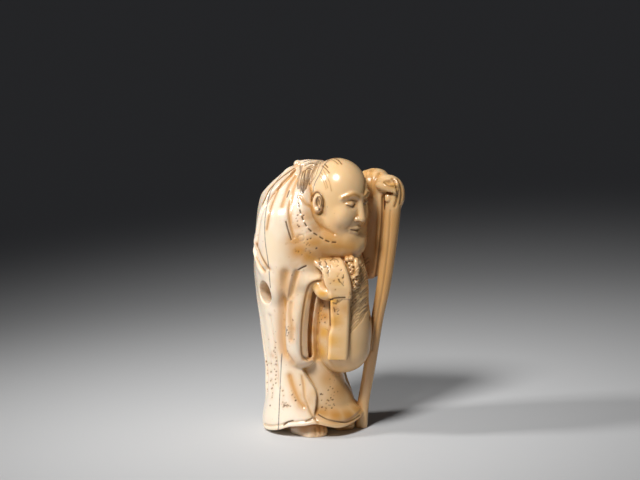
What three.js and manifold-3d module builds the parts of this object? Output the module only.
// A netsuke in millimetres: a standing figure in a robe, leaning on a staff, all carved from one block.
// The figure faces -Y, its left hand is on the +X side, and the ground is z = 0.
import * as THREE from "three";
import { LoftGeometry } from "three/addons/geometries/LoftGeometry.js";
import { mergeVertices } from "three/addons/utils/BufferGeometryUtils.js";
import Module from "manifold-3d";

const wasm = await Module();
wasm.setup();

// Moves the carving sideways so that the middle of its box stands over the origin.
const centring = { x: -1.32, y: 1.03 };

// Robe: one row per height, as [z, centre x, centre y, half width, half depth].
const robeRows = [
  [0.0, 0.2, 1.3, 11.7, 11.6],
  [0.7, 0.2, 1.2, 12.3, 12.2],
  [1.8, 0.2, 1.1, 12.5, 12.4],
  [4.0, 0.2, 1.1, 12.4, 12.3],
  [7.0, 0.1, 1.3, 11.7, 11.6],
  [10.0, 0.0, 1.6, 11.2, 11.1],
  [15.4, 0.0, 2.3, 10.5, 10.5],
  [21.4, 0.0, 2.6, 10.9, 10.8],
  [28.4, 0.0, 2.9, 11.7, 11.3],
  [35.4, 0.0, 3.0, 12.6, 11.8],
  [41.4, 0.0, 3.2, 13.2, 12.1],
  [48.4, 0.0, 3.2, 13.1, 11.7],
  [53.0, 0.0, 3.3, 12.6, 11.2],
  [56.5, 0.0, 3.6, 11.7, 10.6],
  [59.9, -0.1, 4.2, 10.0, 9.2],
  [62.5, -0.1, 4.0, 7.7, 7.1],
  [64.5, -0.1, 3.8, 5.5, 5.2],
  [66.2, -0.2, 3.6, 3.7, 3.5],
  [67.2, -0.2, 3.2, 1.6, 1.6],
];
const robeSides = 40;
const robeSteps = 20;

// Folds cut into the robe: [width, depth, then degrees round from +X and height of each bend].
const folds = [
  [1.2, 1.3, [196, 66], [176, 60], [163, 52], [158, 44]],
  [1.2, 1.3, [140, 66], [128, 58], [122, 48], [128, 37]],
  [1.2, 1.2, [90, 66], [84, 56], [82, 42], [88, 26]],
  [1.2, 1.2, [40, 64], [46, 54], [52, 42], [50, 30]],
  [1.1, 1.2, [143, 48], [160, 44.5], [176, 42], [190, 42.2], [200, 35.6], [204, 29]],
  [1.1, 1.1, [128, 37], [140, 29], [150, 18], [152, 8]],
  [1.2, 0.5, [177, 30], [180, 18], [181, 9]],
  [1.2, 1.2, [88, 26], [104, 14], [110, 5]],
  [1.2, 1.0, [50, 30], [62, 16], [64, 5]],
];

// The cut under the hem: its middle's y, its outer and inner radius, and how far it runs below the ground.
const hemCentre = 1.5;
const pastRobe = 19;
const hemInside = 4.2;
const belowHem = 1.5;
const coreCentre = 4.2;
const coreRadius = 6.8;

// The outer robe ends in front along this edge, as [height, degrees]; the skirt shows below and beside it.
const robeEdge = [
  [0, 226],
  [6, 229],
  [9, 233],
  [12, 234],
  [17, 219],
  [24, 214],
];
const skirtEnd = 338;
const skirtRecess = 1.5;
const skirtLip = 1.1;

// Height of the hem above the ground, as [degrees round from +X, height].
const hem = [
  [0, -0.3],
  [138, -0.3],
  [150, 0.3],
  [168, 0.9],
  [185, 1.7],
  [200, 2.9],
  [219, 3.5],
  [232, 3.9],
  [246, 3.2],
  [259, 2.5],
  [275, 2.6],
  [292, 3.2],
  [312, 3.8],
  [330, 3.4],
  [350, 0.6],
  [360, -0.3],
];

const headCentre = [1.4, -7.0, 59.5];
const headTurn = 3;
const headTilt = 8;

// Staff: [x, y, z, radius] from the ground up.
const staffLine = [
  [9.2, -7.7, -1.0, 1.55],
  [9.4, -8.3, 6.5, 1.45],
  [9.8, -9.5, 13.6, 1.5],
  [10.3, -10.6, 21.2, 1.55],
  [10.9, -11.6, 28.7, 1.55],
  [11.8, -12.7, 36.3, 1.75],
  [12.5, -13.6, 44.7, 1.9],
  [13.0, -14.4, 53.5, 2.0],
  [13.4, -14.9, 60.5, 1.9],
];

// The front right is laid out in a frame turned toward that side and a little down: across, up and level outward.
const frontTurn = 45;
const frontRise = 9;

// Bars on the front right: [across, up, out, radius].
const shawlLine = [
  [-1.4, 63.0, 1.6, 2.6],
  [-2.7, 58.4, 4.9, 2.9],
  [-2.4, 53.0, 6.7, 3.3],
  [-0.6, 47.9, 6.6, 4.2],
  [4.0, 46.8, 6.0, 4.0],
  [8.6, 46.8, 4.4, 4.0],
  [9.6, 49.5, 2.5, 3.6],
  [10.2, 54.0, 0.0, 3.2],
];
const bellyLine = [
  [7.2, 21.6, 3.3, 7.0],
  [7.4, 26.0, 3.5, 7.1],
  [7.4, 31.5, 3.5, 6.3],
  [7.3, 37.5, 3.3, 6.2],
  [6.3, 43.7, 1.9, 5.6],
];
const sleeveBag = [
  [-3.6, 38.0, 5.4, 2.8],
  [-3.7, 34.5, 6.8, 3.5],
  [-3.6, 29.5, 7.7, 3.8],
  [-3.3, 24.0, 7.9, 3.9],
  [-3.1, 19.8, 7.0, 3.9],
];

// The right sleeve's rim runs down along these places, as [up, across]; past it the sleeve slants in to the belly.
const sleeveRim = [
  [18.4, -2.6],
  [20.2, -2.9],
  [23.1, -3.0],
  [26.4, -2.9],
  [29.5, -2.6],
  [32.7, -2.1],
  [35.1, -1.6],
  [36.7, -0.9],
  [37.6, 0.4],
  [37.9, 1.8],
];
const rimOut = 11.1;
const rimSlant = 1.137;
const slotOffset = 2.1;
const slotRadius = 0.85;
const slotHeights = [19.4, 22, 26, 30, 34, 36];

// The held cloth and the strap under it: [left edge, right edge, up, out].
const clothRows = [
  [-0.7, 6.6, 42.8, 7.8],
  [-0.6, 7.2, 42.4, 9.0],
  [0.7, 7.8, 41.2, 10.2],
  [1.9, 8.3, 40.0, 10.9],
  [2.3, 8.8, 38.3, 11.4],
  [2.8, 9.2, 36.6, 11.6],
  [3.6, 9.25, 35.2, 11.6],
  [3.7, 9.2, 33.5, 11.5],
];
const clothThickness = 1.6;
const strapRows = [
  [4.0, 8.9, 35.0, 9.9],
  [4.1, 8.8, 30.0, 9.8],
  [4.2, 8.7, 26.6, 9.8],
  [3.6, 8.6, 24.4, 9.9],
  [3.5, 8.5, 21.5, 9.8],
  [3.3, 8.3, 18.6, 9.6],
];
const strapThickness = 4.4;

// Beads beside the cloth: [across, up, out, radius].
const beadPlaces = [
  [8.7, 41.9, 9.4, 0.45],
  [9.3, 41.5, 9.5, 0.45],
  [8.9, 40.9, 9.5, 0.42],
  [9.5, 40.5, 9.5, 0.45],
  [9.2, 39.8, 9.5, 0.45],
  [9.8, 38.6, 9.9, 0.65],
  [10.25, 37.4, 9.9, 0.6],
  [10.1, 36.2, 9.8, 0.5],
];

// The left hand on the staff's top, its thumb, and the two fingertips that show under it.
const handLine = [
  [16.9, 61.6, 0.0, 2.2],
  [18.9, 61.6, 0.5, 2.3],
  [20.3, 60.3, 0.7, 2.2],
  [20.8, 58.2, 0.8, 1.75],
  [20.7, 56.6, 0.7, 1.2],
];
const thumbLine = [
  [16.4, 61.3, 2.1, 1.1],
  [18.3, 60.5, 3.0, 1.0],
  [20.0, 59.8, 3.2, 0.8],
];
// Fingertips: [across, top, tip, radius].
const fingertips = [
  [18.35, 58.5, 57.8, 0.8],
  [19.6, 58.6, 56.6, 0.75],
];

const knotLine = [
  [1.6, 65.2, -0.6, 2.4],
  [-1.2, 65.8, -1.4, 2.0],
  [-3.2, 66.3, -1.8, 1.3],
];
const knotEnd = [-4.0, 66.6, -1.6, 1.05];
const napeHair = [
  [0.4, 65.0, 0.8, 2.6],
  [-1.6, 61.4, 3.4, 2.2],
  [-2.1, 58.8, 5.0, 1.3],
];

const cordRadius = 2.1;
const cordFlare = 0.9;
const cordMouth = [-15.5, 4.4, 36.4];
const cordMeeting = [-3.5, 5.4, 35.0];
const cordBack = [1.5, 19.0, 34.2];

// How far the surfaces of bars lean in from their ends, in degrees, where they are rounded off.
const coarseEnd = [52];
const fineEnd = [34, 68];

const degrees = THREE.MathUtils.degToRad;
const smooth = THREE.MathUtils.smoothstep;

// A place in millimetres from one given across, outward and in height.
function level(across, out, height) {
  const turn = degrees(frontTurn);
  return [
    across * Math.cos(turn) - out * Math.sin(turn),
    -across * Math.sin(turn) - out * Math.cos(turn),
    height,
  ];
}

// A place in millimetres from one given across, up and outward in the front right's frame.
function frontRight(across, up, out) {
  const rise = degrees(frontRise);
  return level(across, out, up / Math.cos(rise) + out * Math.tan(rise));
}

function solidOf(geometry) {
  const bare = new THREE.BufferGeometry();
  bare.setAttribute("position", geometry.getAttribute("position"));
  bare.setIndex(geometry.getIndex());
  const merged = mergeVertices(bare, 1e-4);
  return new wasm.Manifold(
    new wasm.Mesh({
      numProp: 3,
      vertProperties: merged.attributes.position.array,
      triVerts: new Uint32Array(merged.index.array),
    }),
  );
}

// A solid with flat ends through rings of points, each ring counterclockwise about the way it runs.
function loft(sections) {
  return solidOf(new LoftGeometry(sections, { capStart: true, capEnd: true }));
}

// A ball squeezed to three radii, turned by three angles in degrees and moved to its centre.
function ball(centre, radii, turn = [0, 0, 0], around = 16, down = 10) {
  const geometry = new THREE.SphereGeometry(1, around, down);
  geometry.rotateX(Math.PI / 2);
  geometry.scale(...radii);
  geometry.rotateX(degrees(turn[0]));
  geometry.rotateY(degrees(turn[1]));
  geometry.rotateZ(degrees(turn[2]));
  geometry.translate(...centre);
  return solidOf(geometry);
}

// A value between the rows of a table whose first column rises, eased with a smooth curve.
function between(rows, key, column) {
  let i = 0;
  while (i < rows.length - 2 && key > rows[i + 1][0]) i += 1;
  const before = rows[Math.max(i - 1, 0)];
  const start = rows[i];
  const end = rows[i + 1];
  const after = rows[Math.min(i + 2, rows.length - 1)];
  const span = end[0] - start[0];
  const share = THREE.MathUtils.clamp((key - start[0]) / span, 0, 1);
  const slopeStart = ((end[column] - before[column]) / (end[0] - before[0])) * span;
  const slopeEnd = ((after[column] - start[column]) / (after[0] - start[0])) * span;
  const square = share * share;
  const cube = square * share;
  return (
    (2 * cube - 3 * square + 1) * start[column] +
    (cube - 2 * square + share) * slopeStart +
    (3 * square - 2 * cube) * end[column] +
    (cube - square) * slopeEnd
  );
}

// A round bar along bends given as [x, y, z, radius], with rounded ends.
function bar(bends, sides = 8, steps = 8) {
  const path = new THREE.CatmullRomCurve3(bends.map(([x, y, z]) => new THREE.Vector3(x, y, z)));
  const widths = new THREE.CatmullRomCurve3(bends.map((bend, i) => new THREE.Vector3(i, bend[3], 0)));
  const frames = path.computeFrenetFrames(steps);
  const sections = [];
  const ring = (step, advance, radius) => {
    const centre = path.getPoint(step / steps).addScaledVector(frames.tangents[step], advance);
    const points = [];
    for (let side = 0; side < sides; side += 1) {
      const angle = (side / sides) * 2 * Math.PI;
      const out = frames.normals[step].clone().multiplyScalar(Math.cos(angle));
      out.addScaledVector(frames.binormals[step], Math.sin(angle));
      points.push(centre.clone().addScaledVector(out, radius));
    }
    sections.push(points);
  };
  const first = bends[0][3];
  const last = bends[bends.length - 1][3];
  const leans = sides < 10 ? coarseEnd : fineEnd;
  for (const lean of leans.toReversed()) {
    ring(0, -first * Math.sin(degrees(lean)), first * Math.cos(degrees(lean)));
  }
  for (let step = 0; step <= steps; step += 1) ring(step, 0, widths.getPoint(step / steps).y);
  for (const lean of leans) ring(steps, last * Math.sin(degrees(lean)), last * Math.cos(degrees(lean)));
  return loft(sections);
}

function frontBar(bends, sides, steps) {
  return bar(
    bends.map(([across, up, out, radius]) => [...frontRight(across, up, out), radius]),
    sides,
    steps,
  );
}

// A ball whose radii lie across, outward and up in the front right's frame.
function frontBall(across, up, out, radii, around, down) {
  return ball(frontRight(across, up, out), radii, [0, 0, -frontTurn], around, down);
}

// A folded strip with chamfered edges along rows of [left edge, right edge, up, out].
function ribbon(rows, thickness, chamfer) {
  const profile = rows.map(([, , up, out]) => new THREE.Vector2(out, frontRight(0, up, out)[2]));
  const half = thickness / 2;
  const sections = rows.map(([left, right], i) => {
    const before = profile[Math.max(i - 1, 0)];
    const after = profile[Math.min(i + 1, rows.length - 1)];
    const along = after.clone().sub(before).normalize();
    const corners = [
      [left + chamfer, half],
      [left, half - chamfer],
      [left, chamfer - half],
      [left + chamfer, -half],
      [right - chamfer, -half],
      [right, chamfer - half],
      [right, half - chamfer],
      [right - chamfer, half],
    ];
    return corners.map(([across, off]) => {
      const place = level(across, profile[i].x - off * along.y, profile[i].y + off * along.x);
      return new THREE.Vector3(...place);
    });
  });
  return loft(sections);
}

function join(solids) {
  return solids.reduce((whole, solid) => whole.add(solid));
}

// Nearest distance over the robe's surface from a point to a fold's bends, in millimetres.
function distanceToFold(bends, angle, height) {
  const surfaceRadius = 12;
  const point = new THREE.Vector3(degrees(angle) * surfaceRadius, height, 0);
  const closest = new THREE.Vector3();
  let nearest = Infinity;
  for (let i = 0; i < bends.length - 1; i += 1) {
    const start = new THREE.Vector3(degrees(bends[i][0]) * surfaceRadius, bends[i][1], 0);
    const end = new THREE.Vector3(degrees(bends[i + 1][0]) * surfaceRadius, bends[i + 1][1], 0);
    new THREE.Line3(start, end).closestPointToPoint(point, true, closest);
    nearest = Math.min(nearest, closest.distanceTo(point));
  }
  return nearest;
}

// How far the robe's surface stands in (negative) or out of its plain oval at a place.
function robeRelief(angle, height) {
  let relief = 0;
  for (const [width, depth, ...bends] of folds) {
    const away = distanceToFold(bends, angle, height) / width;
    relief -= depth * Math.exp(-away * away);
  }
  const edge = between(robeEdge, Math.min(height, robeEdge[robeEdge.length - 1][0]), 1);
  const inSkirt = smooth(angle, edge - 2, edge + 3) * (1 - smooth(angle, skirtEnd - 3, skirtEnd + 3));
  const aboveLip = smooth(height, 5.0, 7.5);
  relief -= skirtRecess * inSkirt * aboveLip * (1 - smooth(height, 26, 34));
  const lipSide = Math.exp(-(((angle - 318) / 24) ** 2));
  relief += skirtLip * lipSide * (1 - smooth(height, 8, 12.5));
  return relief;
}

function robe() {
  const sections = [];
  for (let step = 0; step <= robeSteps; step += 1) {
    const top = robeRows[robeRows.length - 1][0];
    const height = top * (0.55 * (step / robeSteps) + 0.45 * Math.sin((Math.PI / 2) * (step / robeSteps)));
    const [x, y, wide, deep] = [1, 2, 3, 4].map((column) => between(robeRows, height, column));
    const points = [];
    for (let side = 0; side < robeSides; side += 1) {
      const angle = (side / robeSides) * 360;
      const oval = (wide * deep) / Math.hypot(deep * Math.cos(degrees(angle)), wide * Math.sin(degrees(angle)));
      const relief = robeRelief(angle, height) * smooth(oval, 1, 6);
      const radius = oval + relief;
      points.push(
        new THREE.Vector3(x + radius * Math.cos(degrees(angle)), y + radius * Math.sin(degrees(angle)), height),
      );
    }
    sections.push(points);
  }
  return loft(sections);
}

// A level ring of points about the Z axis, moved back along Y.
function ringAt(centreY, radius, heightAt) {
  const points = [];
  for (let side = 0; side < robeSides; side += 1) {
    const angle = (side / robeSides) * 360;
    const x = radius * Math.cos(degrees(angle));
    const y = centreY + radius * Math.sin(degrees(angle));
    points.push(new THREE.Vector3(x, y, heightAt(angle)));
  }
  return points;
}

// What is cut away under the raised hem, leaving a core behind the feet.
function hollowUnderHem() {
  const hemHeight = (angle) => between(hem, angle, 1);
  const under = loft([
    ringAt(hemCentre, pastRobe, () => -belowHem),
    ringAt(hemCentre, pastRobe, hemHeight),
    ringAt(hemCentre, hemInside, hemHeight),
    ringAt(hemCentre, hemInside - 1, () => belowHem),
  ]);
  const core = loft([ringAt(coreCentre, coreRadius, () => -3), ringAt(coreCentre, coreRadius, () => 6)]);
  return under.subtract(core);
}

// The shawl falls from the nape, rolls over the chest below the chin and turns up to the far shoulder.
function shawl() {
  return frontBar(shawlLine, 10, 11);
}

function belly() {
  const pocket = frontBar(
    [
      [1.9, 31.6, 10.4, 1.4],
      [1.7, 28.5, 9.6, 1.6],
      [1.3, 25.9, 10.0, 0.9],
    ],
    7,
    3,
  );
  return frontBar(bellyLine, 17, 8).subtract(pocket);
}

// Everything past the sleeve's rim, on a slant that runs in toward the belly.
function pastRim() {
  const far = 16;
  const inner = 3.6;
  const sections = sleeveRim.map(([up, rim]) => {
    const corners = [
      [inner, rimOut - rimSlant * (inner - rim)],
      [rim - (far - rimOut) / rimSlant, far],
      [inner, far],
    ];
    return corners.map(([across, out]) => new THREE.Vector3(...frontRight(across, up, out)));
  });
  return loft(sections);
}

// The right sleeve hangs as a flat bag, with the slot of its mouth behind the rim.
function rightSleeve() {
  const bag = frontBar(sleeveBag, 14, 6);
  const forearm = frontBar(
    [
      [-5.6, 38.0, 5.6, 3.8],
      [-2.0, 37.9, 8.0, 2.9],
      [0.6, 37.4, 9.0, 2.3],
    ],
    10,
    4,
  );
  const slot = slotHeights.map((up) => [
    between(sleeveRim, up, 1) + slotOffset,
    up,
    rimOut - rimSlant * slotOffset,
    slotRadius,
  ]);
  return bag.add(forearm).subtract(pastRim()).subtract(frontBar(slot, 6, 5));
}

function rightArm() {
  return bar(
    [
      [-8.6, 2.6, 54.0, 4.6],
      [-9.2, 2.0, 46.0, 4.7],
      [-9.2, 1.2, 38.0, 4.4],
    ],
    12,
    4,
  );
}

function rightHand() {
  const fist = frontBar(
    [
      [1.0, 37.6, 8.6, 1.9],
      [2.2, 35.0, 9.9, 1.8],
      [4.4, 34.6, 10.4, 1.7],
    ],
    8,
    4,
  );
  const finger = frontBar(
    [
      [10.4, 42.2, 9.3, 0.6],
      [10.6, 40.6, 9.6, 0.6],
      [10.5, 39.3, 9.6, 0.5],
    ],
    6,
    3,
  );
  return fist.add(finger);
}

// The cloth is folded over the hand, the strap hangs from under it, and a bundle lies beside them.
function heldCloth() {
  const bundle = frontBar(
    [
      [9.2, 42.0, 7.8, 1.4],
      [10.0, 38.6, 8.4, 1.2],
      [10.0, 36.4, 8.8, 0.8],
    ],
    8,
    4,
  );
  const knobs = [
    [8.2, 43.0],
    [9.3, 43.2],
    [10.3, 42.7],
  ].map(([across, up]) => frontBall(across, up, 8.6, [0.75, 1.1, 0.75], 6, 4));
  return join([ribbon(clothRows, clothThickness, 0.5), ribbon(strapRows, strapThickness, 0.4), bundle, ...knobs]);
}

function beads() {
  return join(
    beadPlaces.map(([across, up, out, radius]) => frontBall(across, up, out, [radius, radius, radius], 5, 4)),
  );
}

// The left sleeve hangs from the raised forearm like a curtain behind the staff.
function leftSleeve() {
  const rows = [
    [38.2, 11.6, -4.2, 2.0, 5.0],
    [39.0, 11.7, -4.2, 2.9, 6.0],
    [44.0, 12.0, -3.9, 3.3, 6.5],
    [50.0, 12.3, -4.1, 3.6, 6.9],
    [56.0, 12.6, -5.2, 3.8, 6.9],
    [60.0, 12.8, -6.9, 3.7, 6.0],
    [62.5, 12.8, -8.0, 3.2, 4.6],
    [64.8, 12.8, -8.4, 1.9, 2.6],
  ];
  const sides = 16;
  const steps = 7;
  const sections = [];
  for (let step = 0; step <= steps; step += 1) {
    const height = rows[0][0] + (step / steps) * (rows[rows.length - 1][0] - rows[0][0]);
    const [x, y, wide, deep] = [1, 2, 3, 4].map((column) => between(rows, height, column));
    const points = [];
    for (let side = 0; side < sides; side += 1) {
      const angle = (side / sides) * 2 * Math.PI;
      points.push(new THREE.Vector3(x + wide * Math.cos(angle), y + deep * Math.sin(angle), height));
    }
    sections.push(points);
  }
  const panel = loft(sections);
  const forearm = bar(
    [
      [11.0, 0.0, 54.0, 4.4],
      [12.6, -4.6, 59.4, 4.0],
      [12.9, -8.4, 62.2, 3.8],
      [12.6, -11.0, 62.2, 3.0],
    ],
    9,
    4,
  );
  const rim = bar(
    [
      [12.2, -11.2, 64.0, 0.9],
      [11.4, -12.0, 59.5, 0.9],
      [12.0, -11.6, 53.0, 0.9],
      [12.0, -10.8, 46.0, 0.9],
      [11.9, -10.0, 39.6, 0.8],
    ],
    6,
    7,
  );
  return panel.add(forearm).add(rim);
}

// The left hand rests on the staff's top with its fingers hanging over the far side.
function leftHand() {
  const wrist = ball([12.4, -13.9, 62.3], [3.1, 3.0, 2.1], [0, 0, -35], 9, 6);
  const tips = fingertips.map(([across, top, tip, radius]) =>
    frontBar(
      [
        [across, top, 2.0, radius],
        [across, tip, 2.2, radius],
      ],
      6,
      2,
    ),
  );
  const hollow = frontBall(18.9, 62.1, 3.3, [1.5, 0.8, 0.6], 6, 4);
  const gap = frontBall(18.6, 59.3, 2.9, [1.0, 1.2, 0.35], 6, 4);
  const back = wrist.add(frontBar(handLine, 10, 6)).subtract(hollow);
  return join([back.add(frontBar(thumbLine, 6, 4)).subtract(gap), ...tips]);
}

function staff() {
  return bar(staffLine, 10, 9);
}

// A bare foot: a rounded sole, broad to the front, with its toes side by side along an arc.
function foot(middleX, toeY, width) {
  const pieces = [ball([middleX, toeY + 4.6, 1.0], [width / 2, 5.4, 2.7], [0, 0, 0], 12, 7)];
  for (const side of [-1, 1]) {
    const x = middleX + side * (width / 2 - 1.9);
    pieces.push(
      bar(
        [
          [x, toeY + 7.0, 0.8, 1.9],
          [x, toeY + 2.4, 0.4, 1.7],
        ],
        7,
        1,
      ),
    );
  }
  for (let toe = 0; toe < 5; toe += 1) {
    const share = toe / 2 - 1;
    const x = middleX + share * (width / 2 - 0.95);
    pieces.push(ball([x, toeY + 1.7 + 0.8 * share * share, 0.4], [0.85, 1.6, 1.25], [0, 0, 0], 6, 4));
  }
  return join(pieces);
}

// The head is built upright, face to -Y, then tilted forward, turned and set in its place.
function head() {
  const pieces = [
    ball([0, 0.3, 2.1], [6.7, 7.7, 7.7], [0, 0, 0], 16, 9),
    ball([0, -1.7, -3.1], [5.6, 5.8, 6.8], [0, 0, 0], 12, 7),
    ball([0, -5.2, -8.5], [1.9, 1.6, 1.4], [0, 0, 0], 8, 5),
    bar(
      [
        [0, -7.0, 1.6, 0.7],
        [0, -7.8, -1.2, 0.85],
        [0, -8.3, -3.3, 1.0],
      ],
      8,
      4,
    ),
    bar(
      [
        [-1.8, -6.5, -6.1, 0.4],
        [0, -7.1, -5.9, 0.5],
        [1.8, -6.5, -6.1, 0.4],
      ],
      6,
      4,
    ),
    bar(
      [
        [-1.5, -6.3, -6.8, 0.4],
        [0, -6.8, -7.0, 0.5],
        [1.5, -6.3, -6.8, 0.4],
      ],
      6,
      4,
    ),
  ];
  for (const side of [-1, 1]) {
    pieces.push(
      ball([side * 2.9, -4.8, -2.9], [2.2, 2.2, 2.4], [0, 0, 0], 8, 6),
      ball([side * 2.6, -6.1, 0.2], [1.5, 1.1, 0.9], [0, 0, 0], 7, 5),
      ball([side * 0.9, -7.5, -3.5], [0.75, 0.8, 0.6], [0, 0, 0], 6, 4),
      ball([side * 6.5, 0.6, -0.8], [1.2, 1.8, 2.7], [8, 0, side * 18], 8, 6),
      bar(
        [
          [side * 0.9, -7.1, 2.0, 0.55],
          [side * 2.8, -6.7, 2.6, 0.6],
          [side * 4.6, -5.3, 1.6, 0.45],
        ],
        6,
        4,
      ),
    );
  }
  return join(pieces);
}

// The hair is drawn back to a small knot behind the crown.
function hair() {
  const nape = frontBar(napeHair, 8, 4);
  const knot = frontBar(knotLine, 9, 4);
  const end = frontBall(...knotEnd.slice(0, 3), [knotEnd[3], knotEnd[3], knotEnd[3]], 8, 6);
  return join([nape, knot, end]);
}

function placedHead() {
  return head()
    .rotate([headTilt, 0, headTurn])
    .translate(headCentre);
}

function neck() {
  return bar(
    [
      [0.5, -3.0, 57.0, 5.6],
      [0.4, -3.6, 50.0, 6.4],
    ],
    10,
    1,
  );
}

// Two bores that meet inside the body take the hanging cord.
function cordBores() {
  const side = bar([[...cordMouth, cordRadius + cordFlare], [...cordMeeting, cordRadius]], 12, 2);
  const rear = bar([[...cordMeeting, cordRadius], [...cordBack, cordRadius]], 12, 2);
  return side.add(rear);
}

function belowGround() {
  const geometry = new THREE.BoxGeometry(80, 80, 10);
  geometry.translate(0, 0, -5);
  return solidOf(geometry);
}

function carving() {
  const body = join([robe(), rightArm(), shawl(), neck()]).subtract(hollowUnderHem());
  const dressed = join([body, leftSleeve(), rightSleeve(), belly(), heldCloth(), beads(), rightHand()]);
  const feet = foot(-4.2, -7.1, 7.2).add(foot(5.5, -7.5, 6.4));
  const whole = join([dressed, leftHand(), staff(), placedHead(), hair(), feet]);
  return whole.subtract(cordBores()).subtract(belowGround()).translate([centring.x, centring.y, 0]);
}

function meshOf(solid, name) {
  const { numProp, vertProperties, triVerts } = solid.getMesh();
  const positions = new Float32Array((vertProperties.length / numProp) * 3);
  for (let i = 0; i < positions.length / 3; i += 1) {
    positions.set(vertProperties.subarray(i * numProp, i * numProp + 3), i * 3);
  }
  const geometry = new THREE.BufferGeometry();
  geometry.setAttribute("position", new THREE.BufferAttribute(positions, 3));
  geometry.setIndex(new THREE.BufferAttribute(triVerts, 1));
  geometry.computeVertexNormals();
  const ivory = new THREE.MeshStandardMaterial({ color: 0xe9d3a8, roughness: 0.35, metalness: 0 });
  const mesh = new THREE.Mesh(geometry, ivory);
  mesh.name = name;
  return mesh;
}

const group = new THREE.Group();
group.add(meshOf(carving(), "figure"));

export default group;
